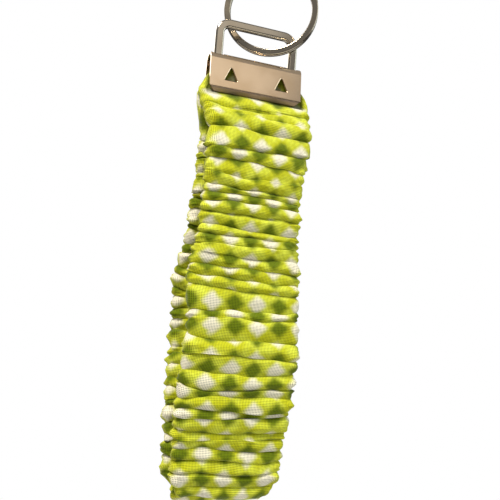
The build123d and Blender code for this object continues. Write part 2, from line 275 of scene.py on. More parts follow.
@dataclass(frozen=True)
class GinghamCotton:
    """Printed plain-weave cotton, read from the cloth's own map: across the sleeve, then along it."""

    name: str = "gingham_cotton"
    lime: Colour = (0.590, 0.605, 0.012)
    lime_light: Colour = (0.770, 0.830, 0.070)
    green: Colour = (0.145, 0.200, 0.001)
    white: Colour = (0.950, 0.900, 0.700)
    check: float = 5.10 * MM  # side of one printed check
    pale_edge: tuple[float, float] = (0.12, 0.31)  # of the pale checks, as shares of a full print repeat
    dark_edge: tuple[float, float] = (0.16, 0.38)
    thread_pitch: float = 0.47 * MM
    weave_depth: float = 0.11 * MM
    weave_gap: tuple[float, float] = (0.45, 1.6)  # height of both threads, from a dark gap to clear of it
    gap_shade: float = 0.20  # of the cloth's colour left in a gap
    wander: float = 1.3 * MM  # of the print's edges
    wander_scale: float = 420.0  # this and the next two in features per metre
    tone_scale: float = 160.0
    hair_scale: float = 2600.0
    hair_depth: float = 0.05 * MM
    over_height: float = 0.35  # of a thread that lies over another
    fuzz: float = 0.14
    shine: float = 0.12
    clamp_shade_tint: Colour = (0.22, 0.24, 0.16)  # painted shade, darkening the cloth inside the clamp and just below its lips

    def material(self) -> bpy.types.Material:
        """Builds the cloth's material.

        Returns:
            The material.
        """
        tree = ShaderTree(self.name)
        cloth = tree.add("UVMap", uv_map="cloth").outputs[0]
        split = tree.add("SeparateXYZ")
        tree.join(cloth, split.inputs[0])
        colour = self._print(tree, cloth, split)
        height, gaps = self._weave(tree, cloth, split)
        shade = tree.add("CombineXYZ")
        for socket in shade.inputs:
            tree.join(gaps, socket)
        colour = tree.mix(1.0, colour, shade.outputs[0], "MULTIPLY")
        # painted shade inside the clamp and below its lips, read from the attribute that the sleeve sets
        # where the clamp holds it
        clamp_shade = tree.add("Attribute", attribute_name="clamp_shade").outputs["Fac"]
        colour = tree.mix(clamp_shade, colour, self.clamp_shade_tint, "MULTIPLY")
        hair = tree.noise(cloth, self.hair_scale, 3.0, 0.7)
        normal = tree.bump(height, self.weave_depth, 0.8)
        normal = tree.bump(hair, self.hair_depth, 0.35, normal)
        return tree.finish(
            {
                "Base Color": colour,
                "Roughness": tree.ramp(hair, 0.2, 0.8, 0.82, 0.97),
                "Normal": normal,
                "Sheen Weight": self.fuzz,
                "Sheen Roughness": 0.45,
                "Specular IOR Level": self.shine,
            }
        )

    def _print(self, tree: ShaderTree, cloth: object, split: bpy.types.Node) -> object:
        """Adds the printed checks, set on their corners.

        Args:
            tree: the material's tree.
            cloth: the cloth's coordinates.
            split: the node that gives them apart.

        Returns:
            The print's colour.
        """
        wander = tree.math("SUBTRACT", tree.noise(cloth, self.wander_scale, 2.0), 0.5)
        wander = tree.math("MULTIPLY", wander, self.wander)
        across = tree.math("ADD", split.outputs[0], wander)
        along = tree.math("ADD", split.outputs[1], wander)
        dark, pale = 1.0, 1.0
        for sign in ("ADD", "SUBTRACT"):
            diagonal = tree.math(sign, across, along)
            turns = tree.math("DIVIDE", diagonal, self.check * math.sqrt(2) * 2)
            wave = tree.math("PINGPONG", turns, 0.5)
            dark = tree.math("MULTIPLY", dark, tree.ramp(wave, *self.dark_edge))
            pale = tree.math("MULTIPLY", pale, tree.ramp(wave, *self.pale_edge, 1.0, 0.0))
        tone = tree.noise(cloth, self.tone_scale, 3.0)
        colour = tree.mix(tree.ramp(tone, 0.35, 0.7), self.lime, self.lime_light)
        colour = tree.mix(dark, colour, self.green)
        return tree.mix(pale, colour, self.white)

    def _weave(self, tree: ShaderTree, cloth: object, split: bpy.types.Node) -> tuple[object, object]:
        """Adds the plain weave.

        Args:
            tree: the material's tree.
            cloth: the cloth's coordinates.
            split: the node that gives them apart.

        Returns:
            The threads' height, and the share of light that the gaps between them leave.
        """
        warp = self._thread(tree, split.outputs[0])
        weft = self._thread(tree, split.outputs[1])
        checker = tree.add("TexChecker")
        tree.join(cloth, checker.inputs["Vector"])
        checker.inputs["Scale"].default_value = 1 / self.thread_pitch
        least = 1 - self.over_height
        over = tree.math("ADD", tree.math("MULTIPLY", checker.outputs[1], self.over_height), least)
        under = tree.math("SUBTRACT", 1 + least, over)
        height = tree.math("MAXIMUM", tree.math("MULTIPLY", warp, over), tree.math("MULTIPLY", weft, under))
        gaps = tree.ramp(tree.math("ADD", warp, weft), *self.weave_gap, self.gap_shade, 1.0)
        return height, gaps

    def _thread(self, tree: ShaderTree, place: object) -> object:
        """Returns the rounded height of parallel threads, from 0 between them to 1 on them."""
        turns = tree.math("DIVIDE", place, self.thread_pitch)
        return tree.math("ABSOLUTE", tree.math("SINE", tree.math("MULTIPLY", turns, math.pi)))


@dataclass(frozen=True)
class PlatedMetal:
    """Polished plated steel, a little hazy in places.

    Args:
        name: the material's name.
        tint: the plating's colour.
        polish: roughness where the metal is clean.
        haze: how much the roughness rises in worn patches.
    """

    name: str
    tint: Colour
    polish: float
    haze: float
    worn: Colour = (0.93, 0.88, 0.80)  # shares of the tint left in worn patches
    patch_scale: float = 120.0  # this and the next in features per metre
    grain_scale: float = 9000.0
    grain: float = 0.04  # strength of the rolled grain
    grain_depth: float = 0.002 * MM

    def material(self) -> bpy.types.Material:
        """Builds the metal's material.

        Returns:
            The material.
        """
        tree = ShaderTree(self.name)
        place = tree.add("TexCoord").outputs["Object"]
        patches = tree.noise(place, self.patch_scale, 2.0, 0.5)
        grain = tree.noise(tree.stretched(place, (0.12, 1.0, 1.0)), self.grain_scale, 2.0, 0.6)
        worn = tuple(c * k for c, k in zip(self.tint, self.worn))
        colour = tree.mix(tree.ramp(patches, 0.35, 0.75, 0.0, 0.8), self.tint, worn)
        rough = tree.ramp(patches, 0.3, 0.75, self.polish, self.polish + self.haze)
        normal = tree.bump(grain, self.grain_depth, self.grain)
        return tree.finish({"Base Color": colour, "Metallic": 1.0, "Roughness": rough, "Normal": normal})


@dataclass(frozen=True)
class Thread:
    """Spun polyester sewing thread."""

    name: str = "sewing_thread"
    colour: Colour = (0.62, 0.66, 0.20)
    twist_scale: float = 5200.0  # features per metre

    def material(self) -> bpy.types.Material:
        """Builds the thread's material.

        Returns:
            The material.
        """
        tree = ShaderTree(self.name)
        place = tree.add("TexCoord").outputs["Object"]
        twist = tree.noise(tree.stretched(place, (1.0, 1.0, 0.4)), self.twist_scale, 2.0)
        dark = tuple(c * 0.6 for c in self.colour)
        return tree.finish(
            {
                "Base Color": tree.mix(twist, dark, self.colour),
                "Roughness": 0.7,
                "Normal": tree.bump(twist, 0.06 * MM, 0.6),
                "Sheen Weight": 0.2,
            }
        )


@dataclass(frozen=True)
class KnittedElastic:
    """White woven elastic with ribs along its length."""

    name: str = "knitted_elastic"
    colour: Colour = (0.80, 0.79, 0.75)
    rib: float = 1.1 * MM

    def material(self) -> bpy.types.Material:
        """Builds the elastic's material.

        Returns:
            The material.
        """
        tree = ShaderTree(self.name)
        cloth = tree.add("UVMap", uv_map="cloth").outputs[0]
        split = tree.add("SeparateXYZ")
        tree.join(cloth, split.inputs[0])
        ribs = tree.math(
            "ABSOLUTE", tree.math("SINE", tree.math("MULTIPLY", split.outputs[0], math.pi / self.rib))
        )
        picks = tree.math(
            "ABSOLUTE", tree.math("SINE", tree.math("MULTIPLY", split.outputs[1], math.pi / self.rib * 1.6))
        )
        height = tree.math("ADD", ribs, tree.math("MULTIPLY", picks, 0.5))
        # painted shade: the elastic is darker in the grooves between its ribs and picks
        dark = tuple(c * 0.72 for c in self.colour)
        return tree.finish(
            {
                "Base Color": tree.mix(tree.ramp(height, 0.1, 1.2), dark, self.colour),
                "Roughness": 0.85,
                "Normal": tree.bump(height, 0.12 * MM, 0.7),
                "Sheen Weight": 0.2,
            }
        )


# ---------------------------------------------------------------- the loop's middle line


class Leg(Enum):
    """The two legs of the wrist loop."""

    FRONT = -1
    BACK = 1


@dataclass(frozen=True)
class Knot:
    """A place on the middle of the cloth, in millimetres.

    Args:
        out: distance from the loop's middle plane.
        drop: distance below the clamp's mouth.
        heading: degrees that the cloth heads in from straight down there.
    """

    out: float
    drop: float
    heading: float = 0.0


@dataclass
class LoopLine:
    """The middle line of the whole loop, from the front end in the clamp round to the back end.

    Args:
        mouth: the height of the clamp's mouth, in millimetres.
        front: the front leg's knots, from the top down.
        back: the back leg's knots, from the top down.
        bottom: how far the loop's lowest point is below the mouth.
    """

    mouth: float
    front: Sequence[Knot]
    back: Sequence[Knot]
    bottom: float
    steps: int = 48
    reach: float = 0.37  # of a handle, as a share of the run between two knots

    def __post_init__(self) -> None:
        """Samples the line and measures it."""
        knots = [self._place(k, Leg.FRONT) for k in self.front]
        knots.append(((0.0, self.mouth - self.bottom), (1.0, 0.0)))
        for knot in reversed(self.back):
            place, heading = self._place(knot, Leg.BACK)
            knots.append((place, (-heading[0], -heading[1])))
        points: list[tuple[float, float]] = []
        for (a, a_way), (b, b_way) in zip(knots, knots[1:]):
            span = math.dist(a, b) * self.reach
            first = (a[0] + a_way[0] * span, a[1] + a_way[1] * span, 0)
            second = (b[0] - b_way[0] * span, b[1] - b_way[1] * span, 0)
            run = geometry.interpolate_bezier((*a, 0), first, second, (*b, 0), self.steps)
            points += [(p[0], p[1]) for p in run[:-1]]
        points.append(knots[-1][0])
        self.points = np.array(points)
        gaps = np.linalg.norm(np.diff(self.points, axis=0), axis=1)
        self.measure = np.concatenate([[0.0], np.cumsum(gaps)])
        way = np.gradient(self.points, self.measure, axis=0)
        way /= np.linalg.norm(way, axis=1)[:, None]
        self.outward = np.stack([way[:, 1], -way[:, 0]], axis=1)
        self.lowest = int(np.argmin(self.points[:, 1]))

    def _place(self, knot: Knot, leg: Leg) -> tuple[tuple[float, float], tuple[float, float]]:
        """Returns a knot's place and heading in the loop's plane, both as (y, z)."""
        turn = math.radians(knot.heading)
        place = (leg.value * knot.out, self.mouth - knot.drop)
        return place, (-leg.value * math.sin(turn), -math.cos(turn))

    @property
    def length(self) -> float:
        """The length of the whole line."""
        return float(self.measure[-1])

    def at(self, along: np.ndarray) -> tuple[np.ndarray, np.ndarray]:
        """Finds places on the line.

        Args:
            along: distances along the line.

        Returns:
            The places and the outward directions there, both as (..., 2) arrays of y and z.
        """
        place = np.stack([np.interp(along, self.measure, self.points[:, i]) for i in (0, 1)], axis=-1)
        out = np.stack([np.interp(along, self.measure, self.outward[:, i]) for i in (0, 1)], axis=-1)
        return place, out / np.linalg.norm(out, axis=-1, keepdims=True)

    def along(self, leg: Leg, drop: float) -> float:
        """Finds the distance along the line of the place on a leg that is drop below the mouth."""
        part = slice(0, self.lowest + 1) if leg is Leg.FRONT else slice(self.lowest, None)
        heights, measure = self.points[part, 1], self.measure[part]
        order = np.argsort(heights)
        return float(np.interp(self.mouth - drop, heights[order], measure[order]))


@dataclass(frozen=True)
class Profile:
    """A size that changes smoothly along a leg, given at a few drops below the mouth."""

    drops: Sequence[float]
    sizes: Sequence[float]

    def __call__(self, drop: np.ndarray) -> np.ndarray:
        """Returns the size at each drop, smoothed by a curve with level tangents at each given place."""
        drops, sizes = np.array(self.drops), np.array(self.sizes)
        at = np.clip(drop, drops[0], drops[-1])
        i = np.clip(np.searchsorted(drops, at, side="right") - 1, 0, len(drops) - 2)
        t = (at - drops[i]) / (drops[i + 1] - drops[i])
        return sizes[i] + (sizes[i + 1] - sizes[i]) * t * t * (3 - 2 * t)


# ---------------------------------------------------------------- creases


@dataclass(frozen=True)
class Crease:
    """One tuck across the sleeve, in millimetres.

    Args:
        drop: how far it is below the mouth, at the middle of the band.
        tilt: how far it falls from the left edge to the right edge.
        bow: how far its middle sags below its ends.
        depth: how deep it is, from 0 to 1.
        left: where it begins, as a share of the half width, or less than -1 for the whole width.
        right: where it ends.
    """

    drop: float
    tilt: float = 0.0
    bow: float = 0.0
    depth: float = 1.0
    left: float = -2.0
    right: float = 2.0

    def path(self, across: np.ndarray) -> np.ndarray:
        """Returns its drop at each share of the half width."""
        return self.drop + self.tilt * across / 2 + self.bow * (1 - across**2)

    def strength(self, across: np.ndarray, fade: float = 0.28) -> np.ndarray:
        """Returns its depth at each share of the half width."""
        grown = np.clip((across - self.left) / fade, 0, 1) * np.clip((self.right - across) / fade, 0, 1)
        return self.depth * grown * grown * (3 - 2 * grown)


@dataclass(frozen=True)
class PrintRow:
    """A row of pale checks that shows on the front.

    Args:
        drop: how far it is below the mouth, in millimetres.
        number: which row of the flat print it is, counted from the mouth, hidden rows included.
        shift: how far the print has moved sideways there, in millimetres.
    """

    drop: float
    number: int
    shift: float = 0.0


@dataclass
class Ripple:
    """A smooth repeatable waver: a few sines with drawn phases.

    Args:
        draw: the generator that it draws from.
        size: its size, in millimetres or as a share.
        waves: how many waves the longest and the shortest sine have over a unit.
        count: how many sines it has.
    """

    draw: np.random.Generator
    size: float
    waves: tuple[float, float] = (0.4, 2.2)
    count: int = 4

    def __post_init__(self) -> None:
        """Draws the sines."""
        self.rates = self.draw.uniform(*self.waves, self.count) * math.pi
        self.phases = self.draw.uniform(0, 2 * math.pi, self.count)

    def __call__(self, at: np.ndarray) -> np.ndarray:
        """Returns the waver at each place."""
        total = sum(np.sin(at * rate + phase) for rate, phase in zip(self.rates, self.phases))
        return self.size * total / math.sqrt(self.count)


@dataclass(frozen=True)
class Wrinkle:
    """Fine wrinkles of one size, in millimetres.

    Args:
        around: their length round the sleeve.
        along: their width along it.
        height: their height.
        layer: which layer of the noise they read.
    """

    around: float
    along: float
    height: float
    layer: float

    def __call__(self, around: np.ndarray, along: np.ndarray) -> np.ndarray:
        """Returns a smooth noise, from about -1 to 1, at each place round the sleeve and along it."""
        pairs = zip((around / self.around).ravel(), (along / self.along).ravel())
        return np.array([noise.noise(Vector((u, v, self.layer))) for u, v in pairs]).reshape(along.shape)


# ---------------------------------------------------------------- the ruched sleeve


@dataclass
class RuchedSleeve:
    """The gathered cotton tube over the elastic, in millimetres.

    Args:
        line: the loop's middle line.
        middle: the sideways place of the band's middle.
        mouth: the height of the clamp's mouth.
        end_top: the height of the sleeve's end in the clamp.
        clamp_half_width: half the clamp's width.
    """

    line: LoopLine
    middle: float
    mouth: float
    end_top: float
    clamp_half_width: float
    flat_columns: int = 58  # on each face
    edge_columns: int = 9  # round each edge
    rows: int = 13  # from one crease to the next
    core: float = 1.05  # half the thickness in the bottom of a crease
    puff: float = 1.65  # height of a full lobe over the crease
    edge_puff: float = 1.35
    usual_puff: float = 0.8  # share of the edge's puff that the length round the sleeve counts
    lobe_reach: float = 3.8  # how far a lobe takes to reach its full height
    lobe_sizes: tuple[float, float] = (0.72, 1.22)
    lobe_waver: float = 0.13  # of a lobe's size across the band
    lobe_droop: float = 0.13  # share of its gap that a lobe may hang down or up
    full_gap: float = 3.6  # between two creases, for a lobe of full size
    least_size: float = 0.45  # of a lobe in a narrow gap
    least_gap: float = 1.5  # between two creases
    crown: float = 0.35  # of the outer face, between its edges
    seam_width: float = 0.9  # of the furrow along the seam
    seam_depth: float = 0.5  # share of a lobe's height that the furrow takes
    fold_top: float = 116.0  # below the mouth, where the inner face begins to turn
    fold_reach: float = 9.0  # over which it turns
    fold_press: float = 0.55  # share of a lobe's height that the turn takes
    free_reach: float = 0.6  # past the clamp's side, over which the cloth comes free
    grip_reach: float = 3.2  # below the mouth, over which the cloth comes free
    grip_core: float = 0.25  # share of the core that the clamp takes
    edge_room: float = 0.8  # of the half width, left for the puff at the edge
    nominal_half_width: float = 18.35
    drawn_gaps: tuple[float, float] = (2.3, 4.6)  # between drawn creases on the back
    fold_gaps: tuple[float, float] = (3.4, 5.2)  # between drawn creases round the fold
    drawn_drops: tuple[float, float] = (13.9, 110.5)  # between which the back's creases are drawn
    fold_end: float = 114.5  # the drop on the back where the fold's creases end
    end_tuck: float = 1.2  # from the sleeve's end in the clamp to its first crease
    turn_gap: float = 4.2  # from the front's last crease to the first drawn one
    front_lap: int = 4  # creases of the front leg that the fold's stretch takes
    back_lap: int = 2  # creases of the back leg that it takes
    whole_share: float = 0.72  # of the drawn creases that run right across
    crease_waver: float = 0.22  # of one crease's path
    shared_waver: float = 0.35  # of the paths of neighbouring creases alike
    waver_drift: float = 0.13  # of the shared waver with each millimetre of drop
    inner_waver: float = 0.8  # of a crease's path on the inner face
    inner_depth: tuple[float, float] = (0.55, 0.4)  # of a crease on the inner face: least, and drawn on top
    edge_start: float = 0.86  # share of the half width where every deep crease is deep
    edge_reach: float = 0.1
    edge_depth: float = 0.9
    depth_waver: float = 0.27  # of its depth on the outer face
    wrinkles: tuple[Wrinkle, ...] = (Wrinkle(7.0, 1.9, 0.28, 0.0), Wrinkle(3.0, 0.9, 0.08, 9.0))
    ruffle: Wrinkle = Wrinkle(5.0, 2.2, 1.5, 4.0)  # along the edges
    ruffle_start: float = 0.66  # share of the half width where the ruffles begin
    ruffle_reach: float = 0.3  # share over which they grow
    held_crinkle: float = 0.12  # share of the wrinkles left where the clamp bites
    front_split: int = 4  # the first deep crease below the mouth
    seed: int = 11
    half_width: Profile = Profile(
        (-9, -4, 0, 6, 16, 28, 46, 60, 71, 84, 100, 112, 121, 126),
        (15.4, 17.4, 18.6, 18.3, 17.4, 16.6, 16.9, 18.6, 18.2, 18.4, 18.8, 18.0, 17.5, 14.8),
    )
    sway: Profile = Profile(
        (-9, 0, 15, 27, 49, 60, 71, 82, 91, 112, 126),
        (0.0, 0.5, 1.8, 0.5, 0.0, -0.5, -0.1, 0.0, -0.7, -0.9, -0.9),
    )
    front_creases: tuple[Crease, ...] = (
        Crease(6.1, tilt=-0.4, bow=0.5, depth=0.35, left=-0.9, right=0.3),
        Crease(9.7, tilt=1.2, bow=-0.3, depth=0.45, left=-0.1),
        Crease(13.9, tilt=0.9, bow=0.3, depth=1.0),
        Crease(20.3, tilt=-1.4, bow=0.3, depth=0.6),
        Crease(24.9, tilt=1.2, bow=-0.2, depth=0.8),
        Crease(29.7, tilt=0.6, bow=0.4, depth=0.45, left=-0.8, right=0.5),
        Crease(33.8, tilt=2.0, bow=0.0, depth=1.0),
        Crease(36.3, tilt=1.3, bow=-0.5, depth=0.9),
        Crease(39.0, tilt=0.3, bow=-0.5, depth=0.85),
        Crease(42.5, tilt=0.2, bow=0.2, depth=0.9),
        Crease(47.1, tilt=1.1, bow=0.3, depth=0.95),
        Crease(49.7, tilt=-0.2, bow=0.0, depth=0.7),
        Crease(52.5, tilt=-1.2, bow=0.2, depth=0.6, left=-0.8, right=0.5),
        Crease(56.1, tilt=0.5, bow=0.5, depth=0.55, left=-0.3),
        Crease(60.0, tilt=1.1, bow=0.2, depth=0.85),
        Crease(63.7, tilt=1.6, bow=0.3, depth=0.95),
        Crease(67.3, tilt=1.9, bow=0.2, depth=0.8),
        Crease(73.9, tilt=-1.2, bow=0.3, depth=0.85),
        Crease(76.5, tilt=-0.6, bow=0.2, depth=0.75, left=-0.5),
        Crease(83.1, tilt=0.3, bow=0.5, depth=1.0),
        Crease(88.1, tilt=0.6, bow=0.4, depth=0.45, left=-0.3),
        Crease(93.1, tilt=0.0, bow=0.7, depth=1.0),
        Crease(97.7, tilt=0.4, bow=1.2, depth=1.0),
        Crease(101.1, tilt=-0.4, bow=-0.2, depth=0.85),
        Crease(105.1, tilt=0.6, bow=0.6, depth=0.9, right=0.1),
        Crease(107.1, tilt=-2.4, bow=0.2, depth=0.8, left=0.1),
        Crease(111.7, tilt=0.0, bow=0.9, depth=1.0),
        Crease(114.4, tilt=-1.5, bow=0.0, depth=0.8, left=0.3),
        Crease(117.5, tilt=0.2, bow=0.3, depth=0.9),
    )
    back_top_creases: tuple[Crease, ...] = (
        Crease(10.4, tilt=0.9, bow=-0.3, depth=0.85),
        Crease(7.4, tilt=-0.7, bow=0.5, depth=0.6, right=0.5),
        Crease(4.2, tilt=0.6, bow=0.3, depth=0.5, left=-0.6),
    )
    print_rows: tuple[PrintRow, ...] = (
        PrintRow(0.8, 0, -0.3),
        PrintRow(4.6, 1, -0.3),
        PrintRow(9.2, 2, -0.3),
        PrintRow(11.7, 3),
        PrintRow(17.3, 4, -0.3),
        PrintRow(24.4, 6, -0.3),
        PrintRow(28.0, 7, 0.2),
        PrintRow(32.5, 8, -0.4),
        PrintRow(35.0, 9),
        PrintRow(37.6, 10, -0.3),
        PrintRow(40.1, 11, -0.2),
        PrintRow(43.7, 12, -0.4),
        PrintRow(47.9, 13),
        PrintRow(54.6, 14, 1.2),
        PrintRow(61.0, 16, 2.0),
        PrintRow(64.2, 17, 2.5),
        PrintRow(67.6, 18, 3.7),
        PrintRow(71.4, 19, 3.7),
        PrintRow(75.3, 20, 3.6),
        PrintRow(80.0, 21, 3.5),
        PrintRow(83.0, 22, 4.0),
        PrintRow(87.1, 23, 3.7),
        PrintRow(91.7, 24, 3.9),
        PrintRow(94.8, 25, 4.0),
        PrintRow(99.4, 26, 5.7),
        PrintRow(103.3, 28, 5.0),
        PrintRow(109.2, 30, 5.7),
        PrintRow(113.1, 32, 5.9),
        PrintRow(121.0, 33, 6.0),
        PrintRow(124.9, 34, 7.0),
    )
    row_pitch: float = 7.21  # between two rows of the flat print
    gathering: float = 2.0  # flat cloth to a length of band, past the last row
    lobe_own_length: float = 0.5  # how much of a lobe's print follows its own length and not the mean
    row_own_place: float = 0.35  # how much of a row follows its own creases and not their mean

    def __post_init__(self) -> None:
        """Lays out the cross-section and the creases, then works out every point of the cloth."""
        self.draw = np.random.default_rng(self.seed)
        self._section()
        self._lay_creases()
        self._shape()
        self._print_map()

    # ------------------------------------------------ layout

    def _section(self) -> None:
        """Lays out the columns round the sleeve, from its seam inside the loop round to the seam again."""
        half = self.flat_columns // 2
        inner = np.linspace(0, 1, half + 1)[:-1]
        turn = np.linspace(-math.pi / 2, math.pi / 2, self.edge_columns + 1)[:-1]
        outer = np.linspace(1, -1, self.flat_columns + 1)[:-1]
        last = np.linspace(-1, 0, half + 1)
        turned = np.ones_like(turn)
        self.flat_share = np.concatenate([inner, turned, outer, -turned, last])
        self.side = np.concatenate([0 * inner, np.cos(turn), 0 * outer, -np.cos(turn), 0 * last])
        self.outer = np.concatenate(
            [-np.ones_like(inner), np.sin(turn), np.ones_like(outer), -np.sin(turn), -np.ones_like(last)]
        )
        turn_radius = self.core + self.usual_puff * self.edge_puff
        x = self.flat_share * (self.nominal_half_width - turn_radius) + self.side * turn_radius
        y = self.outer * turn_radius
        self.across = x / self.nominal_half_width
        steps = np.hypot(np.diff(x), np.diff(y))
        round_it = np.concatenate([[0.0], np.cumsum(steps)])
        self.round_it = round_it - round_it[-1] / 2
        self.face = (self.outer + 1) / 2  # 0 on the inner face, 1 on the outer face

    def _drawn_creases(self, first: float, last: float) -> list[Crease]:
        """Draws creases for a stretch of the sleeve.

        Args:
            first: the stretch's first drop.
            last: the stretch's last drop.

        Returns:
            The creases, in order.
        """
        found, drop = [], first
        while drop < last:
            whole = self.draw.random() < self.whole_share
            begin = -2.0 if whole or self.draw.random() < 0.5 else self.draw.uniform(-0.6, 0.1)
            end = 2.0 if whole or begin > -1 else self.draw.uniform(0.0, 0.7)
            found.append(
                Crease(
                    drop,
                    tilt=self.draw.normal(0, 1.1),
                    bow=self.draw.normal(0.1, 0.4),
                    depth=self.draw.uniform(0.75, 1.0) if whole else self.draw.uniform(0.5, 0.8),
                    left=begin,
                    right=end,
                )
            )
            drop += self.draw.uniform(*self.drawn_gaps)
        return found

    def _lay_creases(self) -> None:
        """Puts every crease in its place along the line, on the front, round the fold and up the back."""
        end = self.mouth - self.end_top
        self.shared = Ripple(self.draw, self.shared_waver, (0.5, 1.6))
        level = np.zeros(len(self.across))
        end_crease = Crease(end, depth=0.4)
        laid = [(level, level), self._laid(end_crease, end - self.end_tuck)]
        laid += [self._laid(crease, self.line.along(Leg.FRONT, crease.drop)) for crease in self.front_creases]
        self.fold_first = len(laid) - self.front_lap
        turn = self.line.along(Leg.FRONT, self.front_creases[-1].drop) + self.turn_gap
        while turn < self.line.along(Leg.BACK, self.fold_end):
            tilt, bow = self.draw.normal(0, 0.9), self.draw.normal(0, 0.3)
            laid.append(self._laid(Crease(0.0, tilt, bow, self.draw.uniform(0.75, 1)), turn))
            turn += self.draw.uniform(*self.fold_gaps)
        self.fold_last = len(laid) + self.back_lap
        for crease in reversed(self._drawn_creases(*self.drawn_drops)):
            laid.append(self._laid(crease, self.line.along(Leg.BACK, crease.drop), way=-1))
        self.back_split = len(laid) - 1
        for crease in self.back_top_creases:
            laid.append(self._laid(crease, self.line.along(Leg.BACK, crease.drop), way=-1))
        laid.append(self._laid(end_crease, self.line.length - end + self.end_tuck, way=-1))
        laid.append((level + self.line.length, level))
        paths, self.depths = (np.array(part) for part in zip(*laid))
        for i in range(1, len(paths)):
            paths[i] = np.maximum(paths[i], paths[i - 1] + self.least_gap)
        self.paths = paths * (self.line.length / paths[-1].max())

    def _laid(self, crease: Crease, place: float, way: int = 1) -> tuple[np.ndarray, np.ndarray]:
        """Lays one crease across the cloth.

        Args:
            crease: the crease.
            place: where its middle is along the line.
            way: 1 down the front and -1 up the back.

        Returns:
            Its place along the line and its depth, at each column.
        """
        waver = Ripple(self.draw, self.crease_waver, (0.8, 3.5))(self.across)
        waver = waver + self.shared(self.across + self.waver_drift * crease.drop)
        inner_waver = Ripple(self.draw, self.inner_waver, (0.4, 2.5))(self.across)
        path = crease.path(self.across) + waver + (1 - self.face) * inner_waver
        whole = np.clip(crease.strength(self.across), 0, 1)
        inside = self.inner_depth[0] + self.inner_depth[1] * self.draw.random()
        edge = np.clip((np.abs(self.across) - self.edge_start) / self.edge_reach, 0, 1) * (crease.depth > 0.5)
        depth = np.maximum(whole * self.face + inside * (1 - self.face), edge * self.edge_depth)
        depth = depth + Ripple(self.draw, self.depth_waver, (0.4, 1.8))(self.across) * self.face
        return place + way * (path - crease.drop), np.clip(depth, 0, 1)

    # ------------------------------------------------ shape

    def _shape(self) -> None:
        """Works out every point of the cloth: lobes between creases, squeezed where the clamp bites."""
        lobes = len(self.paths) - 1
        share = (1 - np.cos(np.linspace(0, math.pi, self.rows + 1))) / 2
        above, below = self.paths[:-1, None, :], self.paths[1:, None, :]
        gap = below - above
        along = above + gap * share[None, :, None]
        reach = np.minimum(self.lobe_reach, 0.6 * gap)
        rise_above = self._arch((along - above) / reach)
        rise_below = self._arch((below - along) / reach)
        deep_above, deep_below = self.depths[:-1, None, :], self.depths[1:, None, :]
        rise = (1 - deep_above * (1 - rise_above)) * (1 - deep_below * (1 - rise_below))
        size = self.draw.uniform(*self.lobe_sizes, lobes)[:, None, None]
        wavers = [Ripple(self.draw, self.lobe_waver, (0.5, 2.5))(self.across) for _ in range(lobes)]
        size = size * (1 + np.array(wavers)[:, None, :]) * np.clip(gap / self.full_gap, self.least_size, 1.0)
        droop = self.draw.normal(0.0, self.lobe_droop, lobes)[:, None, None] * gap
        along = along + droop * np.sin(math.pi * share)[None, :, None] * rise
        place, out = self.line.at(along)
        drop = self.mouth - place[..., 1]
        edge = np.abs(self.side)
        puff = (self.puff * (1 - edge) + self.edge_puff * edge) * size * rise
        half_width = self.half_width(drop) - self.edge_room
        held = self._held(drop)
        past_clamp = np.abs(self.across) * half_width - self.clamp_half_width
        loose = 1 - held * (1 - np.clip(past_clamp / self.free_reach, 0, 1))
        in_fold = np.clip((drop - self.fold_top) / self.fold_reach, 0, 1) * (1 - self.face)
        seam = np.exp(-((self.across * self.nominal_half_width / self.seam_width) ** 2)) * (1 - self.face)
        puff = puff * loose * (1 - self.fold_press * in_fold) * (1 - self.seam_depth * seam)
        core = self.core * (1 - self.grip_core * held)
        x = self.flat_share * (half_width - core) + self.side * (core + puff)
        crown = self.crown * (1 - self.flat_share**2) * self.face * (1 - edge) * (1 - held)
        y = self.outer * core + self.outer * puff + crown
        x = x + self.middle + self.sway(drop)
        # share of painted shade on the cloth: 1 inside the clamp, 0 where the cloth is free of it
        self.lobes, self.clamp_shade = lobes, 1 - loose
        self.points = np.stack([x, place[..., 0] + out[..., 0] * y, place[..., 1] + out[..., 1] * y], axis=-1)
        self._crinkle(share, out, loose)

    @staticmethod
    def _arch(t: np.ndarray) -> np.ndarray:
        """Returns the height of a rounded lobe that starts steeply at 0 and is level from 1 on."""
        return np.sin(math.pi / 2 * np.clip(t, 0, 1)) ** 0.75

    def _held(self, drop: np.ndarray) -> np.ndarray:
        """Returns how firmly the clamp holds the cloth, from 1 in the clamp to 0 below its lips."""
        t = np.clip((drop + 0.2) / self.grip_reach, 0, 1)
        return 1 - t * t * (3 - 2 * t)

    def _crinkle(self, share: np.ndarray, out: np.ndarray, loose: np.ndarray) -> None:
        """Adds fine wrinkles that run across the band, and small ruffles along its edges.

        Args:
            share: how far down its lobe each row is.
            out: the outward direction at every point, in the loop's plane.
            loose: how free the cloth is of the clamp at every point.
        """
        around = np.broadcast_to(self.round_it, self.points.shape[:-1])
        gap = self.paths[1:, None, :] - self.paths[:-1, None, :]
        along = self.paths[:-1, None, :] + gap * share[None, :, None]
        beside = np.clip((np.abs(self.across) - self.ruffle_start) / self.ruffle_reach, 0, 1)
        beside = beside * beside * (3 - 2 * beside)
        height = sum(wrinkle.height * wrinkle(around, along) for wrinkle in self.wrinkles)
        height += (np.abs(self.ruffle(around, along)) - 0.2) * (0.3 + self.ruffle.height * beside)
        ends = np.sin(math.pi * share)[None, :, None] ** 0.5
        push = height * (self.held_crinkle + (1 - self.held_crinkle) * loose) * ends
        self.points[..., 0] += push * self.side
        self.points[..., 1] += push * self.outer * out[..., 0]
        self.points[..., 2] += push * self.outer * out[..., 1]

    # ------------------------------------------------ print

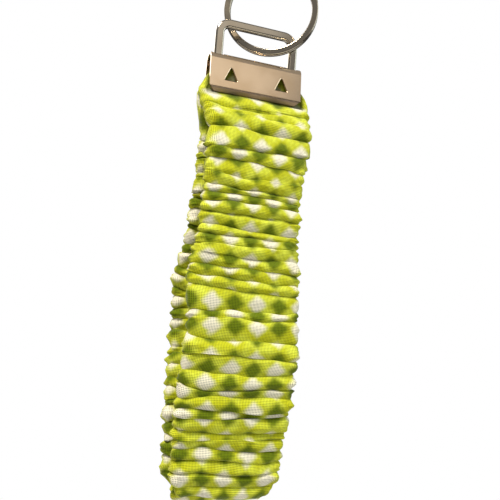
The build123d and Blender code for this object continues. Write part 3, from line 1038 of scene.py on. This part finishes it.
    def _print_map(self) -> None:
        """Maps the cloth, so that each row of the print shows in its place."""
        steps = np.linalg.norm(np.diff(self.points, axis=1), axis=-1)
        begin = np.zeros((self.lobes, 1, len(self.across)))
        within = np.concatenate([begin, np.cumsum(steps, axis=1)], axis=1)
        lengths = within[:, -1:, :]
        own = self.lobe_own_length
        shown = own * lengths + (1 - own) * lengths.mean(axis=2, keepdims=True)
        centre = (self.paths[:-1] + self.paths[1:]) / 2
        own = self.row_own_place
        centre = own * centre + (1 - own) * centre.mean(axis=1, keepdims=True)
        places = [self.line.along(Leg.FRONT, row.drop) for row in self.print_rows]
        flat = [row.number * self.row_pitch for row in self.print_rows]
        shifts = [row.shift for row in self.print_rows]
        beyond = np.maximum(centre - places[-1], 0) - np.maximum(places[0] - centre, 0)
        flat_centre = np.interp(centre, places, flat) + self.gathering * beyond
        self.cloth_along = flat_centre[:, None, :] + (within / lengths - 0.5) * shown
        self.cloth_across = self.round_it + np.interp(centre, places, shifts)

    # ------------------------------------------------ pieces

    def piece(self, name: str, first: int, last: int) -> bpy.types.Object:
        """Builds the sleeve from one crease to another.

        Args:
            name: the piece's name.
            first: the first lobe.
            last: the lobe after the last.

        Returns:
            The sleeve's object, in place.
        """
        rows, columns = (last - first) * self.rows, len(self.across) - 1
        bm = bmesh.new()
        bmesh.ops.create_grid(bm, x_segments=columns, y_segments=rows, size=1)
        cloth = bm.loops.layers.uv.new("cloth")
        # painted shade mask, read by the cloth's material to darken the cloth that the clamp holds
        clamp_shade = bm.verts.layers.float.new("clamp_shade")
        where: dict[int, tuple[int, int]] = {}
        for vertex in bm.verts:
            column = round((vertex.co.x + 1) / 2 * columns)
            row = round((vertex.co.y + 1) / 2 * rows)
            where[vertex.index] = (row, column)
            lobe = min(row // self.rows, last - first - 1)
            vertex.co = Vector(self.points[first + lobe, row - lobe * self.rows, column]) * MM
            vertex[clamp_shade] = self.clamp_shade[first + lobe, row - lobe * self.rows, column]
        for face in bm.faces:
            top = min(where[v.index][0] for v in face.verts)
            lobe = top // self.rows
            for loop in face.loops:
                row, column = where[loop.vert.index]
                along = self.cloth_along[first + lobe, row - lobe * self.rows, column]
                loop[cloth].uv = (self.cloth_across[first + lobe, column] * MM, along * MM)
            face.smooth = True
        bmesh.ops.remove_doubles(bm, verts=[v for v in bm.verts if v.is_boundary], dist=1e-7)
        outward = -1 if first < self.fold_last else 1
        outermost = max(bm.faces, key=lambda f: outward * f.calc_center_median().y)
        if outermost.normal.y * outward < 0:
            bmesh.ops.reverse_faces(bm, faces=bm.faces)
        return object_from(bm, name)


@dataclass
class SeamThread:
    """The sewn line along the inside of the loop.

    Args:
        sleeve: the sleeve that it closes.
    """

    sleeve: RuchedSleeve
    thickness: float = 0.38
    sides: int = 3  # smoothness of the thread's section

    def piece(self, name: str, first: int, last: int) -> bpy.types.Object:
        """Builds the thread between two creases.

        Args:
            name: the piece's name.
            first: the first lobe.
            last: the lobe after the last.

        Returns:
            The thread's object, in place.
        """
        points = self.sleeve.points[first:last, :-1, 0].reshape(-1, 3)
        curve = bpy.data.curves.new(name, "CURVE")
        curve.dimensions = "3D"
        curve.bevel_depth = self.thickness / 2 * MM
        curve.bevel_resolution = self.sides
        curve.use_fill_caps = True
        spline = curve.splines.new("POLY")
        spline.points.add(len(points) - 1)
        for target, point in zip(spline.points, points):
            target.co = (*(point * MM), 1.0)
        shape = bpy.data.objects.new(name, curve)
        mesh = bpy.data.meshes.new_from_object(shape)
        bpy.data.objects.remove(shape)
        bpy.data.curves.remove(curve)
        bm = bmesh.new()
        bm.from_mesh(mesh)
        bpy.data.meshes.remove(mesh)
        for face in bm.faces:
            face.smooth = True
        return object_from(bm, name)


@dataclass
class ElasticBand:
    """The elastic that gathers the sleeve, in millimetres.

    Args:
        line: the loop's middle line.
        sleeve: the sleeve round it.
    """

    line: LoopLine
    sleeve: RuchedSleeve
    width: float = 25.4
    thickness: float = 1.1
    columns: int = 16
    step: float = 1.2

    def piece(self, name: str, first: int, last: int) -> bpy.types.Object:
        """Builds the elastic between two of the sleeve's creases.

        Args:
            name: the piece's name.
            first: the first lobe.
            last: the lobe after the last.

        Returns:
            The elastic's object, in place.
        """
        begin = float(self.sleeve.paths[first].mean())
        end = float(self.sleeve.paths[last].mean())
        rows = max(4, round((end - begin) / self.step))
        bm = bmesh.new()
        bmesh.ops.create_grid(bm, x_segments=self.columns, y_segments=rows, size=1)
        cloth = bm.loops.layers.uv.new("cloth")
        for vertex in bm.verts:
            across = vertex.co.x * self.width / 2
            along = begin + (vertex.co.y + 1) / 2 * (end - begin)
            place, _ = self.line.at(np.array(along))
            x = self.sleeve.middle + float(self.sleeve.sway(self.sleeve.mouth - place[1]))
            vertex.co = Vector((x + across, place[0], place[1])) * MM
            for loop in vertex.link_loops:
                loop[cloth].uv = (across * MM, along * MM)
        bmesh.ops.solidify(bm, geom=bm.faces[:], thickness=self.thickness * MM)
        bmesh.ops.recalc_face_normals(bm, faces=bm.faces)
        return object_from(bm, name)


def object_from(bm: bmesh.types.BMesh, name: str) -> bpy.types.Object:
    """Makes an object from a bmesh and frees the bmesh.

    Args:
        bm: the finished bmesh, in metres and in place.
        name: the object's name.

    Returns:
        The object, linked to the scene.
    """
    mesh = bpy.data.meshes.new(name)
    bm.to_mesh(mesh)
    bm.free()
    piece = bpy.data.objects.new(name, mesh)
    bpy.context.scene.collection.objects.link(piece)
    return piece


def dress(piece: bpy.types.Object, material: bpy.types.Material) -> None:
    """Gives a piece one material in every slot."""
    piece.data.materials.clear()
    piece.data.materials.append(material)


# ---------------------------------------------------------------- hardware


@dataclass
class Hardware:
    """The metal end: split ring, bail and clamp.

    Args:
        nodes: the frame's objects, by name.
    """

    nodes: dict[str, bpy.types.Object]
    edge: float = 0.16 * MM  # width of the rounding that the clamp's cut edges get
    edge_angle: float = 32.0  # degrees between faces, over which an edge is rounded
    rim: float = 0.34 * MM  # width of the rounding round the front windows
    rim_angle: float = 60.0  # degrees between faces, over which an edge is a window's rim
    rim_margin: float = 3.0 * MM  # of plain sheet round the windows
    front_depth: float = 2.8 * MM  # least distance of the front face from the loop's middle plane
    lip_height: float = 3.0 * MM  # above the clamp's lowest point, where the cut edge and the painted shade under the lip end
    lip_lean: float = -0.25  # of the normal of a face that gets the darker metal: the cut edge, and painted shade on the lip's underside; it points down
    round_steps: int = 3
    weld: float = 0.002 * MM  # distance under which two corners are one
    flat_angle: float = 0.6  # degrees between faces that become one
    flat_weight: int = 90

    def clamp(self) -> bpy.types.Object:
        """Builds the clamp from its sheet, with its cut edges eased and its windows' rims rounded.

        Returns:
            The clamp's object, with the faces under its lip set to a second material: the cut edge, and
            painted shade on the lip's underside.
        """
        bm = bmesh.new()
        bm.from_mesh(self.nodes["clamp_shell"].data)
        bmesh.ops.remove_doubles(bm, verts=bm.verts, dist=self.weld)
        bmesh.ops.dissolve_limit(
            bm,
            angle_limit=math.radians(self.flat_angle),
            verts=bm.verts,
            edges=bm.edges,
            use_dissolve_boundaries=False,
        )
        bmesh.ops.bevel(
            bm,
            geom=self._rims(bm),
            offset=self.rim,
            segments=self.round_steps,
            profile=0.5,
            affect="EDGES",
            material=-1,
            clamp_overlap=False,
        )
        lip_top = min(v.co.z for v in bm.verts) + self.lip_height
        for face in bm.faces:
            face.smooth = True
            # faces that point down near the lip take the second material: the real cut edge, and painted
            # shade on the lip's underside
            on_lip = face.normal.z < self.lip_lean and face.calc_center_median().z < lip_top
            face.material_index = int(on_lip)
        piece = object_from(bm, "clamp")
        bevel = piece.modifiers.new("eased_edges", "BEVEL")
        bevel.width = self.edge
        bevel.segments = self.round_steps
        bevel.limit_method = "ANGLE"
        bevel.angle_limit = math.radians(self.edge_angle)
        flat = piece.modifiers.new("flat_sheet", "WEIGHTED_NORMAL")
        flat.weight = self.flat_weight
        return piece

    def _rims(self, bm: bmesh.types.BMesh) -> list[bmesh.types.BMEdge]:
        """Returns the windows' outer edges on the clamp's front face."""
        xs, zs = [v.co.x for v in bm.verts], [v.co.z for v in bm.verts]
        low = Vector((min(xs), 0, min(zs))) + Vector((1, 0, 1)) * self.rim_margin
        high = Vector((max(xs), 0, max(zs))) - Vector((1, 0, 1)) * self.rim_margin
        found = []
        for edge in bm.edges:
            ends = [v.co for v in edge.verts]
            inside = all(low.x < p.x < high.x and low.z < p.z < high.z for p in ends)
            front = any(f.normal.y < -0.8 and f.calc_center_median().y < 0 for f in edge.link_faces)
            outer = all(p.y < -self.front_depth for p in ends)
            if not (inside and front and outer and edge.is_manifold):
                continue
            if edge.calc_face_angle() > math.radians(self.rim_angle):
                found.append(edge)
        return found


# ---------------------------------------------------------------- studio


@dataclass(frozen=True)
class Camera:
    """The camera, low and to the left of the strap, with its angles in degrees."""

    place: tuple[float, float, float] = (-0.0783, -0.21345, -0.1226)
    yaw: float = 19.94  # to the right of straight ahead
    pitch: float = 6.63
    roll: float = 4.47
    lens: float = 50.4
    sensor: float = 36.0
    clip: tuple[float, float] = (0.01, 50.0)

    def build(self) -> None:
        """Makes the camera and looks through it."""
        yaw, pitch, roll = (math.radians(a) for a in (self.yaw, self.pitch, self.roll))
        ahead = Vector((math.sin(yaw) * math.cos(pitch), math.cos(yaw) * math.cos(pitch), math.sin(pitch)))
        right = Vector((math.cos(yaw), -math.sin(yaw), 0))
        up = right.cross(ahead)
        x = right * math.cos(roll) + up * math.sin(roll)
        y = up * math.cos(roll) - right * math.sin(roll)
        data = bpy.data.cameras.new("camera")
        data.lens, data.sensor_width = self.lens, self.sensor
        data.clip_start, data.clip_end = self.clip
        camera = bpy.data.objects.new("camera", data)
        camera.matrix_world = Matrix.Translation(self.place) @ Matrix((x, y, -ahead)).transposed().to_4x4()
        bpy.context.scene.collection.objects.link(camera)
        bpy.context.scene.camera = camera


@dataclass(frozen=True)
class SoftBox:
    """One large studio light.

    Args:
        name: the light's name.
        place: where it stands, in metres.
        size: its width and height, in metres.
        power: its power, in watts.
        colour: the colour of its light.
        turn: how far it is turned about its own middle, in degrees.
    """

    name: str
    place: tuple[float, float, float]
    size: tuple[float, float]
    power: float
    colour: Colour = (1.0, 1.0, 1.0)
    turn: float = 0.0

    def build(self, target: Vector) -> None:
        """Makes the light and turns it to the target."""
        data = bpy.data.lights.new(self.name, "AREA")
        data.shape = "RECTANGLE"
        data.size, data.size_y = self.size
        data.energy = self.power
        data.color = self.colour
        light = bpy.data.objects.new(self.name, data)
        light.location = self.place
        aim = (target - Vector(self.place)).to_track_quat("-Z", "Y")
        light.rotation_euler = (aim @ Quaternion((0, 0, 1), math.radians(self.turn))).to_euler()
        bpy.context.scene.collection.objects.link(light)


@dataclass
class Studio:
    """A pale floor, a pale sky and four soft boxes.

    Args:
        target: where the soft boxes point.
    """

    target: Vector
    floor_drop: float = 0.32  # below the target
    floor_radius: float = 0.75
    floor_sides: int = 96
    floor_colour: Colour = (0.75, 0.75, 0.75)
    sky_light: float = 0.34  # what the sky gives the object, as a share of what shows behind it
    sky_low: Colour = (0.17, 0.16, 0.15)
    sky_span: tuple[float, float] = (0.42, 0.85)  # from dark to full, where 0.5 is level
    boxes: tuple[SoftBox, ...] = (
        SoftBox("key", (-0.42, -0.42, 0.72), (0.30, 0.30), 15.0, (1.0, 0.95, 0.86)),
        SoftBox("fill", (1.05, -0.55, 0.30), (0.9, 0.9), 7.0, (0.84, 0.97, 1.0)),
        SoftBox("card", (0.11, -0.90, 0.34), (0.42, 0.55), 0.52, (1.0, 0.94, 0.86), turn=-18.0),
        SoftBox("rim", (-0.3, 0.9, 0.5), (0.7, 0.5), 3.0),
    )

    def build(self) -> None:
        """Makes the floor, the sky and the lights."""
        self._floor()
        self._sky()
        for box in self.boxes:
            box.build(self.target)
        bpy.context.scene.view_settings.view_transform = "Standard"

    def _floor(self) -> None:
        """Makes the floor, far below the hanging strap."""
        bm = bmesh.new()
        bmesh.ops.create_circle(bm, cap_ends=True, segments=self.floor_sides, radius=self.floor_radius)
        bmesh.ops.translate(bm, verts=bm.verts, vec=(0, 0, self.target.z - self.floor_drop))
        floor = object_from(bm, "floor")
        dress(floor, ShaderTree("pale_floor").finish({"Base Color": self.floor_colour, "Roughness": 0.9}))
        floor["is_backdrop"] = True

    def _sky(self) -> None:
        """Makes a pale sky that is a little darker towards the ground, for the metal to mirror."""
        world = bpy.data.worlds.new("studio")
        bpy.context.scene.world = world
        world.use_nodes = True
        nodes, links = world.node_tree.nodes, world.node_tree.links
        nodes.clear()
        seen, lit = nodes.new("ShaderNodeBackground"), nodes.new("ShaderNodeBackground")
        seen.inputs[0].default_value = (1.0, 1.0, 1.0, 1.0)
        lit.inputs[1].default_value = self.sky_light
        place, split = nodes.new("ShaderNodeTexCoord"), nodes.new("ShaderNodeSeparateXYZ")
        height = nodes.new("ShaderNodeMath")
        height.operation = "MULTIPLY_ADD"  # from -1 to 1 straight down and up, to 0 to 1
        height.inputs[1].default_value = height.inputs[2].default_value = 0.5
        ramp = nodes.new("ShaderNodeValToRGB")
        for stop, at, colour in zip(ramp.color_ramp.elements, self.sky_span, (self.sky_low, (1.0, 1.0, 1.0))):
            stop.position, stop.color = at, (*colour, 1.0)
        rays, mix = nodes.new("ShaderNodeLightPath"), nodes.new("ShaderNodeMixShader")
        output = nodes.new("ShaderNodeOutputWorld")
        for source, target in (
            (place.outputs["Generated"], split.inputs[0]),
            (split.outputs[2], height.inputs[0]),
            (height.outputs[0], ramp.inputs[0]),
            (ramp.outputs[0], lit.inputs[0]),
            (rays.outputs["Is Camera Ray"], mix.inputs[0]),
            (lit.outputs[0], mix.inputs[1]),
            (seen.outputs[0], mix.inputs[2]),
            (mix.outputs[0], output.inputs[0]),
        ):
            links.new(source, target)


# ---------------------------------------------------------------- the whole object


@dataclass
class Wristlet:
    """Puts the pieces together, and attaches the clamp to its body.
    """

    frame: dict
    flex_start: float = 0.5  # millimetres above the mouth
    flex_end: float = 9.0  # millimetres below the mouth
    stretch_start: float = 16.0  # millimetres below the mouth
    stretch_end: float = 119.0  # millimetres below the mouth
    bottom_puff: float = 2.5  # from the middle line's lowest point to the bottom of the cloth
    end_out: float = 0.95  # of the sleeve's two ends, from the loop's middle plane
    front_knots: tuple[Knot, ...] = (
        Knot(0.85, -0.6),
        Knot(5.0, 9, -21),
        Knot(6.4, 18.5, -3),
        Knot(6.9, 50.5, -1),
        Knot(9.4, 82.5, -1),
        Knot(4.9, 120.5, 5),
    )
    back_knots: tuple[Knot, ...] = (
        Knot(0.85, -0.6),
        Knot(3.2, 10.5, -10),
        Knot(4.2, 30.5, -5),
        Knot(10.4, 73, 2),
        Knot(5.4, 98, 8),
        Knot(4.0, 119.5, 3),
    )

    def build(self) -> None:
        """Builds and dresses every piece."""
        nodes = self.frame["nodes"]
        end_low, end_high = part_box("cover_end_front")
        clamp_low, clamp_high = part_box("clamp_shell")
        loop_low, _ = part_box("cover_fold")
        self.mouth = end_low.z / MM
        self.middle = (clamp_low.x + clamp_high.x) / 2 / MM
        end_knot = Knot(self.end_out, self.mouth - end_high.z / MM)
        line = LoopLine(
            self.mouth,
            front=(end_knot, *self.front_knots),
            back=(end_knot, *self.back_knots),
            bottom=self.mouth - (loop_low.z / MM + self.bottom_puff),
        )
        sleeve = RuchedSleeve(
            line, self.middle, self.mouth, end_high.z / MM, (clamp_high.x - clamp_low.x) / 2 / MM
        )
        self._cloth(sleeve)
        self._metal(nodes)
        self._inside(nodes)

    def _cloth(self, sleeve: RuchedSleeve) -> None:
        """Builds the five stretches of the sleeve."""
        cotton = GinghamCotton().material()
        stretches = (
            ("sleeve_top_front", 0, sleeve.front_split, ("cover_end_front", "cover_front")),
            ("sleeve_front", sleeve.front_split, sleeve.fold_first, ()),
            ("sleeve_fold", sleeve.fold_first, sleeve.fold_last, ("cover_fold",)),
            ("sleeve_back", sleeve.fold_last, sleeve.back_split, ()),
            ("sleeve_top_back", sleeve.back_split, sleeve.lobes, ("cover_end_back", "cover_back")),
        )
        for name, first, last, stands_for in stretches:
            piece = self._add(sleeve.piece(name, first, last), cotton, stands_for)
        self._seam(sleeve, stretches)
        self._elastic(sleeve)

    def _seam(self, sleeve: RuchedSleeve, stretches: Sequence[tuple]) -> None:
        """Builds the seam's thread in the same stretches as the sleeve."""
        thread = Thread().material()
        seam = SeamThread(sleeve)
        stands_for = {
            "seam_top_front": ("seam_thread_front",),
            "seam_fold": ("seam_thread_fold",),
            "seam_top_back": ("seam_thread_back",),
        }
        for sleeve_name, first, last, _ in stretches:
            name = sleeve_name.replace("sleeve", "seam")
            self._add(seam.piece(name, first, last), thread, stands_for.get(name, ()))

    def _elastic(self, sleeve: RuchedSleeve) -> None:
        """Builds the elastic in three stretches."""
        weave = KnittedElastic().material()
        band = ElasticBand(sleeve.line, sleeve)
        stretches = (
            ("elastic_top_front", 0, sleeve.front_split, ("elastic_end_front", "elastic_front")),
            ("elastic_loop", sleeve.front_split, sleeve.back_split, ("elastic_fold",)),
            ("elastic_top_back", sleeve.back_split, sleeve.lobes, ("elastic_end_back", "elastic_back")),
        )
        for name, first, last, stands_for in stretches:
            piece = self._add(band.piece(name, first, last), weave, stands_for)

    def _add(
        self, piece: bpy.types.Object, material: bpy.types.Material, stands_for: Sequence[str]
    ) -> bpy.types.Object:
        """Dresses a soft stretch, bakes its place into its mesh and hides the nodes that it takes the place
        of.

        Args:
            piece: the stretch.
            material: its material.
            stands_for: the nodes that it takes the place of.

        Returns:
            The same piece.
        """
        dress(piece, material)
        if "top" in piece.name:
            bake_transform(piece)
        else:
            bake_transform(piece)
        if stands_for:
            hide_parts(*stands_for)
        log.info("%s: %d faces", piece.name, len(piece.data.polygons))
        return piece

    def _metal(self, nodes: dict[str, bpy.types.Object]) -> None:
        """Builds and dresses the metal end."""
        bright = PlatedMetal("bright_nickel", (0.43, 0.38, 0.305), polish=0.12, haze=0.07)
        warm = PlatedMetal("warm_nickel", (0.77, 0.585, 0.395), polish=0.17, haze=0.05)
        # a darker, rougher copy of the clamp's metal: the real cut edge, and painted shade under the lip
        cut = PlatedMetal("cut_edge_and_shade", (0.34, 0.25, 0.18), polish=0.55, haze=0.1, grain=0.25)
        dress(nodes["split_ring"], bright.material())
        dress(nodes["bail"], bright.material())
        clamp = Hardware(nodes).clamp()
        clamp.data.materials.append(warm.material())
        clamp.data.materials.append(cut.material())
        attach(clamp, "clamp")
        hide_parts("clamp_shell")
        log.info("metal dressed")

    def _inside(self, nodes: dict[str, bpy.types.Object]) -> None:
        """Dresses what the sleeve hides."""
        thread = Thread().material()
        dress(nodes["basting_stitches"], thread)


def main() -> None:
    """Builds the scene round the frame."""
    logging.basicConfig(level=logging.INFO)
    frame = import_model()
    cad_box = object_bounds()
    low, high = cad_box
    Camera().build()
    Studio((low + high) / 2).build()
    Wristlet(frame).build()
    bpy.context.view_layer.update()


if __name__ == "__main__":
    main()
